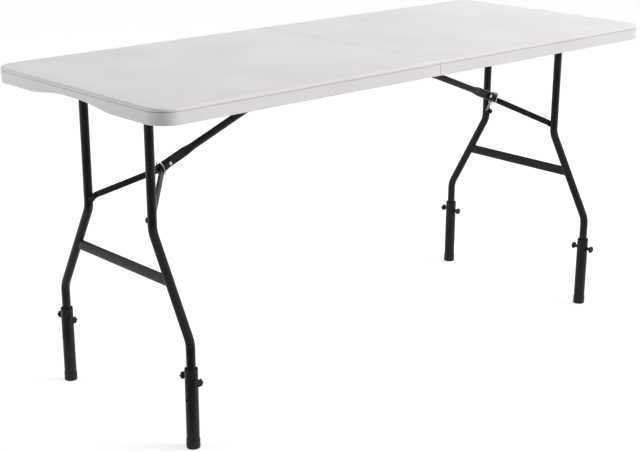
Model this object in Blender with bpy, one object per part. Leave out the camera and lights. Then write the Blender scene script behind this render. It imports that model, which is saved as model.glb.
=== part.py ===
import math

import bmesh
import bpy
from mathutils import Matrix, Vector

# Overall sizes in metres, +X along the length, +Y to the back, +Z up, floor at zero
LENGTH = 1.83
WIDTH = 0.74
HEIGHT = 0.90
CLEAR = 0.0003
CUT_REACH = 0.05
CUT_SPARE = 0.01

# Blow-moulded top, one panel for each half
SEAM = 0.0015
CORNER = 0.06
SLAB = 0.012
SKIRT = 0.040
LIP = 0.008
SETBACK = 0.002
EDGE_ROUND = 0.006
SEAM_ROUND = 0.001
DRAFT = 0.0015
RIM = 0.011
RIM_ROUND = 0.0015
CENTRE_RIM_RISE = 0.010
ARCH_RISE = 0.011
ARCH_FLAT = 0.09
ARCH_FOOT = 0.17

# Steel rails under the top and the centre hinges on their ends
RAIL_INSET = 0.040
RAIL_WIDE = 0.016
RAIL_DEEP = 0.024
RAIL_WALL = 0.0015
RAIL_START = 0.014
RAIL_END_INSET = 0.075
LEAF_THICK = 0.003
LEAF_LONG = 0.085
KNUCKLE_RADIUS = 0.0055
KNUCKLE_WEB = 0.001
HINGE_PIN_RADIUS = 0.0025
HINGE_HEAD = 0.0015
HINGE_HEAD_RADIUS = 0.00425
HEAD_FLAT = 0.75
HEAD_RIM = 0.4

# Leg frames
LEG_INSET = 0.129
LEG_RADIUS = 0.012
TUBE_WALL = 0.0015
LEG_TOP_Y = 0.1432
LEG_FOOT_INSET = 0.0838
BEND_RADIUS = 0.06
SPLAY = math.radians(29.3)
PIVOT_RADIUS = 0.0125
PIVOT_DROP = 0.020
PIVOT_PLATE = 0.003
PIVOT_PLATE_HALF = 0.020
PIVOT_FLANGE = 0.018
LEG_BELOW_PIVOT = 0.002
BEND_BELOW_STAY = 0.026
BAR_BELOW_BEND = 0.1156
BAR_HIGH = 0.029
BAR_DEEP = 0.013

# Folding brace: upper brace, elbow, stay arms and lock ring
BRACE_X = 0.08
BRACE_BELOW_SLAB = 0.014
BRACE_RADIUS = 0.010
BRACE_TAIL = 0.008
FLAT_HALF = 0.0045
FLAT_TALL = 0.0140
FLAT_SQUARE = 3.5
FLAT_BACK = 0.050
FLAT_TAPER = 0.036
FLAT_NOSE = 0.040
ELBOW_FROM_LEG = 0.158
ELBOW_ABOVE_STAY = 0.095
STAY_BELOW_PIVOT = 0.3025
STAY_THICK = 0.005
STAY_TALL = 0.0093
STAY_SQUARE = 4
STAY_MIDDLE = 0.007
STAY_NECK = 0.031
STAY_SWELL = 0.016
STAY_BEND = 0.012
STAY_LEG_GAP = 0.0005
STAY_EYE = 0.016
EYE_TIP = math.radians(25)
RIVET_RADIUS = 0.003
RIVET_HEAD_RADIUS = 0.0048
RIVET_HEAD = 0.0012
RING_WIRE = 0.0016
RING_ALONG = 0.026
RING_DROP = 0.017
RING_CORNER = 0.006
CHEEK = 0.0025
CHEEK_BACK = 0.022
CHEEK_FRONT = 0.014
CHEEK_DROP = 0.010
CHEEK_FLANGE = 0.018
BOLT_HEAD = 0.006
BOLT_HEAD_RADIUS = 0.007

# Extension sleeves, foot caps and thumb knobs
SLEEVE_RADIUS = 0.017
SLEEVE_WALL = 0.0015
SLEEVE_BELOW_BEND = 0.0676
SLEEVE_MOUTH = 0.005
GUIDE_LONG = 0.012
LEG_IN_SLEEVE = 0.074
KNOB_BELOW_TOP = 0.029
HOLE_SPACING = 0.054
HOLE_RADIUS = 0.004
CAP_WALL = 0.0007
CAP_HIGH = 0.025
CAP_FLOOR = 0.0035
KNOB_SHANK = 0.0037
KNOB_BACKED_OFF = 0.0036
KNOB_EASE = 0.0015
KNOB_NECK_RADIUS = 0.0055
KNOB_NECK_END = 0.030
KNOB_TIP = 0.041
KNOB_RADIUS = 0.0085
KNOB_FLUTE = 0.0007
KNOB_LOBES = 6

# Places worked out from the sizes above
slab_z = HEIGHT - SLAB
skirt_z = HEIGHT - SKIRT
under_z = slab_z - CLEAR
half_seam = SEAM / 2
rail_y = WIDTH / 2 - RAIL_INSET
rail_z = under_z - RAIL_DEEP
rail_end = LENGTH / 2 - RAIL_END_INSET
leaf_top = rail_z - CLEAR
hinge = Vector((0, rail_y, leaf_top - KNUCKLE_RADIUS))
leg_x = LENGTH / 2 - LEG_INSET
foot_y = WIDTH / 2 - LEG_FOOT_INSET
pivot = Vector((leg_x, 0, slab_z - PIVOT_DROP))
stay_end = Vector((leg_x, 0, pivot.z - STAY_BELOW_PIVOT))
elbow = Vector((leg_x - ELBOW_FROM_LEG, 0, stay_end.z + ELBOW_ABOVE_STAY))
brace_root = Vector((BRACE_X, 0, slab_z - BRACE_BELOW_SLAB))
upper_bend = stay_end.z - BEND_BELOW_STAY
lower_bend = upper_bend - (foot_y - LEG_TOP_Y) / math.tan(SPLAY)
bar_z = upper_bend - BAR_BELOW_BEND
bar_y = LEG_TOP_Y + BAR_BELOW_BEND * math.tan(SPLAY)
sleeve_top = lower_bend - SLEEVE_BELOW_BEND
knob_z = sleeve_top - KNOB_BELOW_TOP
hole_z = knob_z - HOLE_SPACING
leg_end = sleeve_top - LEG_IN_SLEEVE
foot = Vector((leg_x, foot_y, 0))
brace_way = (elbow - brace_root).normalized()
brace_up = Vector((-brace_way.z, 0, brace_way.x))
brace_long = (elbow - brace_root).length
stay_way = (stay_end - elbow).normalized()
stay_up = Vector((-stay_way.z, 0, stay_way.x))
stay_long = (stay_end - elbow).length
across = Vector((0, 1, 0))

COLOURS = {
    'top': ((0.80, 0.80, 0.81), 0.0, 0.45),
    'steel': ((0.035, 0.036, 0.038), 0.3, 0.42),
    'zinc': ((0.62, 0.62, 0.63), 1.0, 0.32),
    'plastic': ((0.02, 0.02, 0.021), 0.0, 0.55),
}


# Mesh helpers
def clear_scene():
    for item in list(bpy.data.objects):
        bpy.data.objects.remove(item, do_unlink=True)


def make(bm, name):
    bmesh.ops.remove_doubles(bm, verts=bm.verts[:], dist=1e-7)
    bmesh.ops.recalc_face_normals(bm, faces=bm.faces[:])
    mesh = bpy.data.meshes.new(name)
    bm.to_mesh(mesh)
    bm.free()
    item = bpy.data.objects.new(name, mesh)
    bpy.context.scene.collection.objects.link(item)
    return item


def add_ring(bm, points):
    return [bm.verts.new(p) for p in points]


def bridge(bm, a, b):
    count = len(a)
    for i in range(count):
        j = (i + 1) % count
        bm.faces.new((a[i], a[j], b[j], b[i]))


def loft(rings, name):
    bm = bmesh.new()
    made = [add_ring(bm, ring) for ring in rings]
    for a, b in zip(made, made[1:]):
        bridge(bm, a, b)
    bm.faces.new(made[0])
    bm.faces.new(made[-1])
    return make(bm, name)


def hollow_loft(outer, inner, name):
    bm = bmesh.new()
    skins = []
    for rings in (outer, inner):
        made = [add_ring(bm, ring) for ring in rings]
        for a, b in zip(made, made[1:]):
            bridge(bm, a, b)
        skins.append(made)
    bridge(bm, skins[0][0], skins[1][0])
    bridge(bm, skins[0][-1], skins[1][-1])
    return make(bm, name)


def closed_sweep(rings, name):
    bm = bmesh.new()
    made = [add_ring(bm, ring) for ring in rings]
    for a, b in zip(made, made[1:] + made[:1]):
        bridge(bm, a, b)
    return make(bm, name)


def oval(centre, u, v, half_u, half_v, count, power=2.0):
    points = []
    for i in range(count):
        a = 2 * math.pi * i / count
        c = math.cos(a)
        s = math.sin(a)
        x = math.copysign(abs(c) ** (2 / power), c) * half_u
        y = math.copysign(abs(s) ** (2 / power), s) * half_v
        points.append(centre + u * x + v * y)
    return points


def spin(profile, centre, axis, side, count, name, closed=False):
    turns = [Matrix.Rotation(2 * math.pi * i / count, 3, axis) @ side for i in range(count)]
    bm = bmesh.new()
    rows = []
    for radius, along in profile:
        if radius < 1e-9:
            rows.append([bm.verts.new(centre + axis * along)])
        else:
            rows.append(add_ring(bm, [centre + axis * along + t * radius for t in turns]))
    pairs = list(zip(rows, rows[1:]))
    if closed:
        pairs.append((rows[-1], rows[0]))
    for a, b in pairs:
        if len(a) == 1 or len(b) == 1:
            tip = a[0] if len(a) == 1 else b[0]
            rim = b if len(a) == 1 else a
            for i in range(count):
                bm.faces.new((tip, rim[i], rim[(i + 1) % count]))
        else:
            bridge(bm, a, b)
    return make(bm, name)


def rod(centre, axis, radius, start, stop, count, name='cutter'):
    side = Vector((1, 0, 0)) if abs(axis.x) < 0.9 else Vector((0, 0, 1))
    side = (side - axis * side.dot(axis)).normalized()
    other = axis.cross(side)
    return loft([oval(centre + axis * d, side, other, radius, radius, count) for d in (start, stop)], name)


def block(low, high, name='cutter'):
    rings = []
    for z in (low[2], high[2]):
        rings.append([Vector((low[0], low[1], z)), Vector((high[0], low[1], z)),
                      Vector((high[0], high[1], z)), Vector((low[0], high[1], z))])
    return loft(rings, name)


def prism(outline, shift, name='cutter'):
    return loft([outline, [p + shift for p in outline]], name)


def boolean(item, tool, operation):
    tool.hide_render = True
    tool.display_type = 'WIRE'
    mod = item.modifiers.new(operation.lower(), 'BOOLEAN')
    mod.operation = operation
    mod.solver = 'EXACT'
    mod.object = tool
    graph = bpy.context.evaluated_depsgraph_get()
    mesh = bpy.data.meshes.new_from_object(item.evaluated_get(graph))
    item.modifiers.clear()
    item.data = mesh
    bpy.data.objects.remove(tool, do_unlink=True)
    return item


def cut(item, tool):
    return boolean(item, tool, 'DIFFERENCE')


def join(item, tool):
    return boolean(item, tool, 'UNION')


def bent_path(points, radius, steps):
    path = [points[0]]
    for before, corner, after in zip(points, points[1:], points[2:]):
        a = (before - corner).normalized()
        b = (after - corner).normalized()
        half = a.angle(b) / 2
        reach = radius / math.tan(half)
        centre = corner + (a + b).normalized() * (radius / math.sin(half))
        start = (corner + a * reach - centre).normalized()
        stop = (corner + b * reach - centre).normalized()
        for i in range(steps + 1):
            path.append(centre + start.slerp(stop, i / steps) * radius)
    path.append(points[-1])
    return path


def path_ways(path):
    ways = []
    for i, point in enumerate(path):
        before = path[max(i - 1, 0)]
        after = path[min(i + 1, len(path) - 1)]
        if 0 < i < len(path) - 1:
            ways.append(((point - before).normalized() + (after - point).normalized()).normalized())
        else:
            ways.append((after - before).normalized())
    return ways


def dress(item, look):
    colour, metallic, roughness = COLOURS[look]
    material = bpy.data.materials.new(item.name + ' finish')
    material.use_nodes = True
    shader = material.node_tree.nodes['Principled BSDF']
    shader.inputs['Base Color'].default_value = (*colour, 1)
    shader.inputs['Metallic'].default_value = metallic
    shader.inputs['Roughness'].default_value = roughness
    item.data.materials.clear()
    item.data.materials.append(material)


def mirrored(item, name, side_x, side_y, origin, look):
    bm = bmesh.new()
    bm.from_mesh(item.data)
    home = Vector((origin.x * side_x, origin.y * side_y, origin.z))
    for v in bm.verts:
        v.co = Vector((v.co.x * side_x, v.co.y * side_y, v.co.z)) - home
    if side_x * side_y < 0:
        bmesh.ops.reverse_faces(bm, faces=bm.faces[:])
    mesh = bpy.data.meshes.new(name)
    bm.to_mesh(mesh)
    bm.free()
    made = bpy.data.objects.new(name, mesh)
    made.location = home
    bpy.context.scene.collection.objects.link(made)
    dress(made, look)
    return made


ENDS = (('left', -1), ('right', 1))
SIDES = (('front', -1), ('rear', 1))


def to_both_ends(item, name, origin, look):
    for end, side_x in ENDS:
        mirrored(item, f'{end}_{name}', side_x, 1, origin, look)
    bpy.data.objects.remove(item, do_unlink=True)


def to_four_corners(item, name, origin, look):
    for end, side_x in ENDS:
        for side, side_y in SIDES:
            mirrored(item, f'{end}_{side}_{name}', side_x, side_y, origin, look)
    bpy.data.objects.remove(item, do_unlink=True)


def to_front_and_rear(item, name, origin, look):
    for side, side_y in SIDES:
        mirrored(item, f'{side}_{name}', 1, side_y, origin, look)
    bpy.data.objects.remove(item, do_unlink=True)


# Top panel: rings of the half outline, from the top face round the skirt to the underside
def half_outline(inset, seam_inset, z, steps=8):
    right = LENGTH / 2 - inset
    back = WIDTH / 2 - inset
    radius = CORNER - inset
    inner = half_seam + seam_inset
    points = [Vector((inner, -back, z))]
    for start, cx, cy in ((-90, right - radius, -back + radius), (0, right - radius, back - radius)):
        for i in range(steps + 1):
            a = math.radians(start + 90 * i / steps)
            points.append(Vector((cx + radius * math.cos(a), cy + radius * math.sin(a), z)))
    points.append(Vector((inner, back, z)))
    return points


def top_panel():
    rings = []
    for i in range(6):
        a = math.radians(90 * i / 5)
        drop = 1 - math.cos(a)
        run = 1 - math.sin(a)
        rings.append(half_outline(EDGE_ROUND * run, SEAM_ROUND * run, HEIGHT - EDGE_ROUND * drop))
    outer = SETBACK + DRAFT
    rings.append(half_outline(0, 0, HEIGHT - LIP))
    rings.append(half_outline(SETBACK, 0, HEIGHT - LIP - SETBACK / 2))
    rings.append(half_outline(outer, 0, skirt_z + RIM_ROUND))
    rings.append(half_outline(outer + RIM_ROUND, RIM_ROUND, skirt_z))
    rings.append(half_outline(outer + RIM - RIM_ROUND, RIM - RIM_ROUND, skirt_z))
    rings.append(half_outline(outer + RIM, RIM, skirt_z + RIM_ROUND))
    rings.append(half_outline(outer + RIM + DRAFT, RIM + DRAFT, slab_z))
    panel = loft(rings, 'panel')
    # The rim along the fold is shallower, to leave room for the hinge knuckles
    room_y = WIDTH / 2 - outer - RIM - 2 * DRAFT
    cut(panel, block((-CUT_SPARE, -room_y, skirt_z - CUT_SPARE),
                     (half_seam + RIM + 2 * DRAFT, room_y, skirt_z + CENTRE_RIM_RISE)))
    # The end skirt rises in a shallow hand-hold arch
    arch_x = LENGTH / 2 - outer - RIM - 2 * DRAFT
    outline = [Vector((arch_x, -ARCH_FOOT, skirt_z)), Vector((arch_x, -ARCH_FLAT, skirt_z + ARCH_RISE)),
               Vector((arch_x, ARCH_FLAT, skirt_z + ARCH_RISE)), Vector((arch_x, ARCH_FOOT, skirt_z)),
               Vector((arch_x, ARCH_FOOT, skirt_z - CUT_SPARE)),
               Vector((arch_x, -ARCH_FOOT, skirt_z - CUT_SPARE))]
    cut(panel, prism(outline, Vector((outer + RIM + 2 * DRAFT + CUT_SPARE, 0, 0))))
    return panel


# Rails and hinges under the top
def box_ring(x, half_y, low_z, high_z, centre_y):
    return [Vector((x, centre_y - half_y, low_z)), Vector((x, centre_y + half_y, low_z)),
            Vector((x, centre_y + half_y, high_z)), Vector((x, centre_y - half_y, high_z))]


def side_rail():
    ends = (RAIL_START, rail_end)
    inner_half = RAIL_WIDE / 2 - RAIL_WALL
    outer = [box_ring(x, RAIL_WIDE / 2, rail_z, under_z, rail_y) for x in ends]
    inner = [box_ring(x, inner_half, rail_z + RAIL_WALL, under_z - RAIL_WALL, rail_y) for x in ends]
    return hollow_loft(outer, inner, 'rail')


def hinge_leaf(side_x, from_y, to_y):
    start = KNUCKLE_RADIUS + KNUCKLE_WEB
    xs = sorted((side_x * start, side_x * LEAF_LONG))
    low_z = leaf_top - LEAF_THICK
    half_wide = RAIL_WIDE / 2
    leaf = block((xs[0], rail_y - half_wide, low_z), (xs[1], rail_y + half_wide, leaf_top), 'leaf')
    xs = sorted((0.0, side_x * (start + KNUCKLE_WEB)))
    join(leaf, block((xs[0], rail_y + from_y, low_z), (xs[1], rail_y + to_y, leaf_top)))
    join(leaf, rod(hinge, across, KNUCKLE_RADIUS, from_y, to_y, 14))
    cut(leaf, rod(hinge, across, HINGE_PIN_RADIUS + CLEAR, -RAIL_WIDE, RAIL_WIDE, 12))
    return leaf


def headed_pin(centre, radius, head_radius, half_long, head, name):
    tip = half_long + head
    rim = half_long + head * HEAD_RIM
    flat = head_radius * HEAD_FLAT
    profile = [(0, -tip), (flat, -tip), (head_radius, -rim), (head_radius, -half_long), (radius, -half_long),
               (radius, half_long), (head_radius, half_long), (head_radius, rim), (flat, tip), (0, tip)]
    return spin(profile, centre, across, Vector((1, 0, 0)), 10, name)


# Leg frame
def pivot_bracket():
    inner_y = rail_y - RAIL_WIDE / 2 - CLEAR - PIVOT_PLATE
    outline = [Vector((leg_x + PIVOT_PLATE_HALF, inner_y, under_z)),
               Vector((leg_x - PIVOT_PLATE_HALF, inner_y, under_z))]
    for i in range(11):
        a = math.pi + math.pi * i / 10
        outline.append(Vector((leg_x + PIVOT_PLATE_HALF * math.cos(a), inner_y,
                               pivot.z + PIVOT_PLATE_HALF * math.sin(a))))
    plate = prism(outline, across * PIVOT_PLATE, 'bracket')
    join(plate, block((leg_x - PIVOT_PLATE_HALF, inner_y - PIVOT_FLANGE, under_z - PIVOT_PLATE),
                      (leg_x + PIVOT_PLATE_HALF, inner_y + PIVOT_PLATE / 2, under_z)))
    return cut(plate, rod(pivot, across, PIVOT_RADIUS + CLEAR, 0, WIDTH / 2, 20))


def pivot_tube():
    reach = rail_y - RAIL_WIDE / 2 - 2 * CLEAR
    side = Vector((1, 0, 0))
    up = Vector((0, 0, 1))
    skins = []
    for radius in (PIVOT_RADIUS, PIVOT_RADIUS - TUBE_WALL):
        skins.append([oval(pivot + across * y, side, up, radius, radius, 20) for y in (-reach, reach)])
    return hollow_loft(skins[0], skins[1], 'pivot tube')


def leg_tube():
    points = [Vector((leg_x, LEG_TOP_Y, pivot.z - LEG_BELOW_PIVOT)), Vector((leg_x, LEG_TOP_Y, upper_bend)),
              Vector((leg_x, foot_y, lower_bend)), Vector((leg_x, foot_y, leg_end))]
    path = bent_path(points, BEND_RADIUS, 3)
    side = Vector((1, 0, 0))
    skins = []
    for radius in (LEG_RADIUS, LEG_RADIUS - TUBE_WALL):
        rings = []
        for p, way in zip(path, path_ways(path)):
            rings.append(oval(p, side, way.cross(side), radius, radius, 12))
        skins.append(rings)
    leg = hollow_loft(skins[0], skins[1], 'leg')
    return cut(leg, rod(pivot, across, PIVOT_RADIUS + CLEAR, 0, WIDTH / 2, 20))


def crossbar():
    skins = []
    round_off = BAR_DEEP / 2
    for inset in (0, TUBE_WALL):
        rings = []
        for y in (-bar_y, bar_y):
            ring = []
            for start, mid in ((0, BAR_HIGH / 2 - round_off), (180, -BAR_HIGH / 2 + round_off)):
                for i in range(7):
                    a = math.radians(start + 30 * i)
                    radius = round_off - inset
                    ring.append(Vector((leg_x + radius * math.cos(a), y, bar_z + mid + radius * math.sin(a))))
            rings.append(ring)
        skins.append(rings)
    bar = hollow_loft(skins[0], skins[1], 'crossbar')
    for side_y in (-1, 1):
        axis = Vector((0, side_y * math.sin(SPLAY), -math.cos(SPLAY)))
        joint = Vector((leg_x, side_y * bar_y, bar_z))
        cut(bar, rod(joint, axis, LEG_RADIUS + CLEAR, -CUT_REACH, CUT_REACH, 20))
    return bar


# Folding brace
def upper_brace():
    flat_start = brace_long - FLAT_BACK
    stations = [(-BRACE_TAIL, 0), (flat_start - FLAT_TAPER, 0), (flat_start - FLAT_TAPER / 2, 0.5),
                (flat_start, 1), (brace_long + FLAT_NOSE, 1)]
    skins = []
    for inset in (0, TUBE_WALL):
        rings = []
        for along, flat in stations:
            half_y = BRACE_RADIUS + (FLAT_HALF - BRACE_RADIUS) * flat - inset
            half_z = BRACE_RADIUS + (FLAT_TALL - BRACE_RADIUS) * flat - inset
            power = 2 + (FLAT_SQUARE - 2) * flat
            rings.append(oval(brace_root + brace_way * along, across, brace_up, half_y, half_z, 16, power))
        skins.append(rings)
    brace = hollow_loft(skins[0], skins[1], 'upper brace')
    for place in (brace_root, elbow):
        cut(brace, rod(place, across, RIVET_RADIUS + CLEAR, -CUT_REACH, CUT_REACH, 12))
    return brace


def brace_bracket():
    inner = BRACE_RADIUS + CLEAR
    outer = inner + CHEEK
    low_x = BRACE_X - CHEEK_BACK
    high_x = BRACE_X + CHEEK_FRONT
    low_z = brace_root.z - CHEEK_DROP
    web = inner + CHEEK / 2
    bracket = block((low_x, -web, low_z), (low_x + CHEEK, web, under_z), 'brace bracket')
    for side_y in (-1, 1):
        outline = [Vector((low_x, side_y * y, z)) for y, z in (
            (inner, low_z), (outer, low_z), (outer, under_z - CHEEK), (outer + CHEEK_FLANGE, under_z - CHEEK),
            (outer + CHEEK_FLANGE, under_z), (inner, under_z))]
        join(bracket, prism(outline, Vector((high_x - low_x, 0, 0))))
    return cut(bracket, rod(brace_root, across, RIVET_RADIUS + CLEAR, -CUT_REACH, CUT_REACH, 16))


def eye_rings(centre, way):
    rings = []
    for i in range(3):
        a = EYE_TIP + (math.pi / 2 - EYE_TIP) * i / 3
        place = centre + way * (STAY_TALL * math.cos(a))
        rings.append(oval(place, across, stay_up, STAY_THICK / 2, STAY_TALL * math.sin(a), 12, STAY_SQUARE))
    return rings


def stay_arm():
    near_y = FLAT_HALF + CLEAR + STAY_THICK / 2
    far_y = LEG_TOP_Y - LEG_RADIUS - STAY_LEG_GAP - STAY_THICK / 2
    corners = [Vector((0, near_y, 0)), Vector((STAY_NECK, near_y, 0)),
               Vector((stay_long - STAY_EYE, far_y, 0)), Vector((stay_long, far_y, 0))]
    path = bent_path(corners, STAY_BEND, 3)
    run = (corners[2] - corners[1]).normalized()
    path.insert(5, corners[1] + run * STAY_SWELL)
    path.insert(6, corners[2] - run * STAY_SWELL)
    # Rounded eye at each end, drawn as sections that close towards the tip
    rings = eye_rings(elbow + across * near_y, -stay_way)
    for i, (p, way) in enumerate(zip(path, path_ways(path))):
        full = i in (5, 6)
        normal = (across * way.x - stay_way * way.y).normalized()
        centre = elbow + stay_way * p.x + across * p.y
        half = STAY_MIDDLE / 2 if full else STAY_THICK / 2
        rings.append(oval(centre, normal, stay_up, half, STAY_TALL, 12, STAY_SQUARE))
    rings.extend(reversed(eye_rings(stay_end + across * far_y, stay_way)))
    stay = loft(rings, 'stay')
    cut(stay, rod(elbow, across, RIVET_RADIUS + CLEAR, 0, CUT_REACH, 12))
    return cut(stay, rod(stay_end, across, RIVET_RADIUS + CLEAR, far_y - CUT_SPARE, far_y + CUT_SPARE, 12))


def stay_bolt():
    outer = LEG_TOP_Y - LEG_RADIUS - STAY_LEG_GAP
    seat = outer - STAY_THICK - CLEAR
    tip = seat - BOLT_HEAD
    profile = [(0, tip), (BOLT_HEAD_RADIUS * HEAD_FLAT, tip), (BOLT_HEAD_RADIUS, seat - BOLT_HEAD * HEAD_RIM),
               (BOLT_HEAD_RADIUS, seat), (RIVET_RADIUS, seat), (RIVET_RADIUS, outer), (0, outer)]
    return spin(profile, stay_end, across, Vector((1, 0, 0)), 12, 'stay bolt')


def lock_ring():
    centre = elbow + brace_way * RING_ALONG
    half = FLAT_HALF + STAY_THICK + 2 * CLEAR + RIVET_HEAD + 2 * CLEAR + RING_WIRE
    top = FLAT_TALL + CLEAR + RING_WIRE
    low = -RING_DROP - RING_WIRE
    wide = half - RING_CORNER
    high_z = top - RING_CORNER
    low_z = low + RING_CORNER
    rings = []
    for start, cy, cz in ((0, wide, high_z), (90, -wide, high_z), (180, -wide, low_z), (270, wide, low_z)):
        for i in range(4):
            a = math.radians(start + 90 * i / 3)
            out = across * math.cos(a) + brace_up * math.sin(a)
            point = centre + across * cy + brace_up * cz + out * RING_CORNER
            rings.append(oval(point, out, brace_way, RING_WIRE, RING_WIRE, 6))
    return closed_sweep(rings, 'lock ring')


# Feet
def extension_sleeve():
    bore = SLEEVE_RADIUS - SLEEVE_WALL
    guide = LEG_RADIUS + CLEAR
    low = CAP_FLOOR + CLEAR
    guide_top = sleeve_top - SLEEVE_MOUTH
    guide_low = guide_top - GUIDE_LONG
    profile = [(SLEEVE_RADIUS, low), (SLEEVE_RADIUS, sleeve_top), (bore, sleeve_top), (bore, guide_top),
               (guide, guide_top), (guide, guide_low), (bore, guide_low), (bore, low)]
    sleeve = spin(profile, foot, Vector((0, 0, 1)), Vector((1, 0, 0)), 18, 'sleeve', True)
    for z in (knob_z, hole_z):
        cut(sleeve, rod(foot + Vector((0, 0, z)), across, HOLE_RADIUS, -CUT_REACH, CUT_REACH, 10))
    return sleeve


def foot_cap():
    bore = SLEEVE_RADIUS + CLEAR
    radius = bore + CAP_WALL
    profile = [(0, 0), (radius - RIM_ROUND, 0), (radius, RIM_ROUND), (radius, CAP_HIGH), (bore, CAP_HIGH),
               (bore, CAP_FLOOR), (0, CAP_FLOOR)]
    return spin(profile, foot, Vector((0, 0, 1)), Vector((1, 0, 0)), 18, 'cap')


def thumb_knob(side_y):
    way = across * side_y
    centre = foot + Vector((0, 0, knob_z))
    shoulder = SLEEVE_RADIUS + CLEAR
    eased = KNOB_RADIUS - KNOB_EASE
    stations = [(LEG_RADIUS + KNOB_BACKED_OFF, KNOB_SHANK, 0), (shoulder, KNOB_SHANK, 0),
                (shoulder, KNOB_NECK_RADIUS, 0), (KNOB_NECK_END, KNOB_NECK_RADIUS, 0),
                (KNOB_NECK_END, eased, KNOB_FLUTE), (KNOB_NECK_END + KNOB_EASE, KNOB_RADIUS, KNOB_FLUTE),
                (KNOB_TIP - KNOB_EASE, KNOB_RADIUS, KNOB_FLUTE), (KNOB_TIP, eased, KNOB_FLUTE)]
    rings = []
    count = KNOB_LOBES * 2
    for along, radius, flute in stations:
        ring = []
        for i in range(count):
            a = 2 * math.pi * i / count
            r = radius - (flute if i % 2 else 0)
            ring.append(centre + way * along + Vector((math.cos(a) * r, 0, math.sin(a) * r)))
        rings.append(ring)
    return loft(rings, 'knob')


def main():
    clear_scene()
    to_both_ends(top_panel(), 'top_panel', Vector((0, 0, HEIGHT)), 'top')
    to_four_corners(side_rail(), 'side_rail', Vector((0, rail_y, rail_z)), 'steel')
    gap = CLEAR / 2
    half_rail = RAIL_WIDE / 2
    to_front_and_rear(hinge_leaf(-1, -half_rail, -gap), 'left_hinge_leaf', hinge, 'zinc')
    to_front_and_rear(hinge_leaf(1, gap, half_rail), 'right_hinge_leaf', hinge, 'zinc')
    pin = headed_pin(hinge, HINGE_PIN_RADIUS, HINGE_HEAD_RADIUS, half_rail + CLEAR, HINGE_HEAD, 'hinge pin')
    to_front_and_rear(pin, 'hinge_pin', hinge, 'zinc')
    to_four_corners(pivot_bracket(), 'pivot_bracket', pivot, 'steel')
    to_both_ends(pivot_tube(), 'pivot_tube', pivot, 'steel')
    to_four_corners(leg_tube(), 'leg_tube', pivot, 'steel')
    to_both_ends(crossbar(), 'crossbar', pivot, 'steel')
    to_both_ends(brace_bracket(), 'brace_bracket', brace_root, 'steel')
    half_long = BRACE_RADIUS + CHEEK + 2 * CLEAR
    pin = headed_pin(brace_root, RIVET_RADIUS, RIVET_HEAD_RADIUS, half_long, RIVET_HEAD, 'brace pin')
    to_both_ends(pin, 'brace_pin', brace_root, 'zinc')
    to_both_ends(upper_brace(), 'upper_brace', brace_root, 'steel')
    to_four_corners(stay_arm(), 'stay_arm', elbow, 'steel')
    to_four_corners(stay_bolt(), 'stay_bolt', stay_end, 'steel')
    half_long = FLAT_HALF + STAY_THICK + 2 * CLEAR
    pin = headed_pin(elbow, RIVET_RADIUS, RIVET_HEAD_RADIUS, half_long, RIVET_HEAD, 'elbow rivet')
    to_both_ends(pin, 'elbow_rivet', elbow, 'zinc')
    to_both_ends(lock_ring(), 'lock_ring', elbow, 'zinc')
    to_four_corners(extension_sleeve(), 'extension_sleeve', foot, 'steel')
    to_four_corners(foot_cap(), 'foot_cap', foot, 'plastic')
    knob_place = foot + Vector((0, 0, knob_z))
    to_four_corners(thumb_knob(1), 'outer_knob', knob_place, 'plastic')
    to_four_corners(thumb_knob(-1), 'inner_knob', knob_place, 'plastic')


main()
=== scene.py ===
import bpy
import math
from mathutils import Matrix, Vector


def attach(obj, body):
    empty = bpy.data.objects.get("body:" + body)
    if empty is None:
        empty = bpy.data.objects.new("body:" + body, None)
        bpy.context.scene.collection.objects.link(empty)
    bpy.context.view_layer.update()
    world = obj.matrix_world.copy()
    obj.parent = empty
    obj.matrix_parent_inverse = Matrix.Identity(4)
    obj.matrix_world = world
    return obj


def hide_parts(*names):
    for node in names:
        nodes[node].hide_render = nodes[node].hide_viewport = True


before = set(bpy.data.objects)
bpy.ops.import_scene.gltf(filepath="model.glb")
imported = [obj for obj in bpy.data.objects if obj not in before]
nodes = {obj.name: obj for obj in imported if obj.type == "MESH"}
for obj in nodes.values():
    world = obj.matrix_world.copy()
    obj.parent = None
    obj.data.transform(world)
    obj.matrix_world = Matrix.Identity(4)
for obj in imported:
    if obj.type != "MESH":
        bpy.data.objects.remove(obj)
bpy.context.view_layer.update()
ends = (('left', -1), ('right', 1))
sides = (('front', -1), ('rear', 1))
print('frame loaded,', len(nodes), 'nodes')


# small hand tools used by every piece
def objectMode():
    if bpy.context.mode != 'OBJECT':
        bpy.ops.object.mode_set(mode='OBJECT')


def startClean():
    objectMode()
    bpy.ops.object.select_all(action='DESELECT')


def pickOnly(piece):
    startClean()
    piece.select_set(True)
    bpy.context.view_layer.objects.active = piece


def editAll(piece):
    pickOnly(piece)
    bpy.ops.object.mode_set(mode='EDIT')
    bpy.ops.mesh.select_mode(type='VERT')
    bpy.ops.mesh.select_all(action='SELECT')


def applyPlace(piece):
    pickOnly(piece)
    bpy.ops.object.transform_apply(location=True, rotation=True, scale=True)


def applyModifiers(piece):
    pickOnly(piece)
    for modifier in list(piece.modifiers):
        bpy.ops.object.modifier_apply(modifier=modifier.name)


def selectVerts(piece, test):
    # object mode selection by place, carried up to edges and faces
    objectMode()
    mesh = piece.data
    for v in mesh.vertices:
        v.select = test(v)
    for e in mesh.edges:
        e.select = all(mesh.vertices[i].select for i in e.vertices)
    for f in mesh.polygons:
        f.select = all(mesh.vertices[i].select for i in f.vertices)


def editVerts(piece, test):
    selectVerts(piece, test)
    bpy.ops.object.mode_set(mode='EDIT')


def selectFaces(piece, test):
    objectMode()
    mesh = piece.data
    for v in mesh.vertices:
        v.select = False
    for e in mesh.edges:
        e.select = False
    for f in mesh.polygons:
        f.select = test(f)


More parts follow.
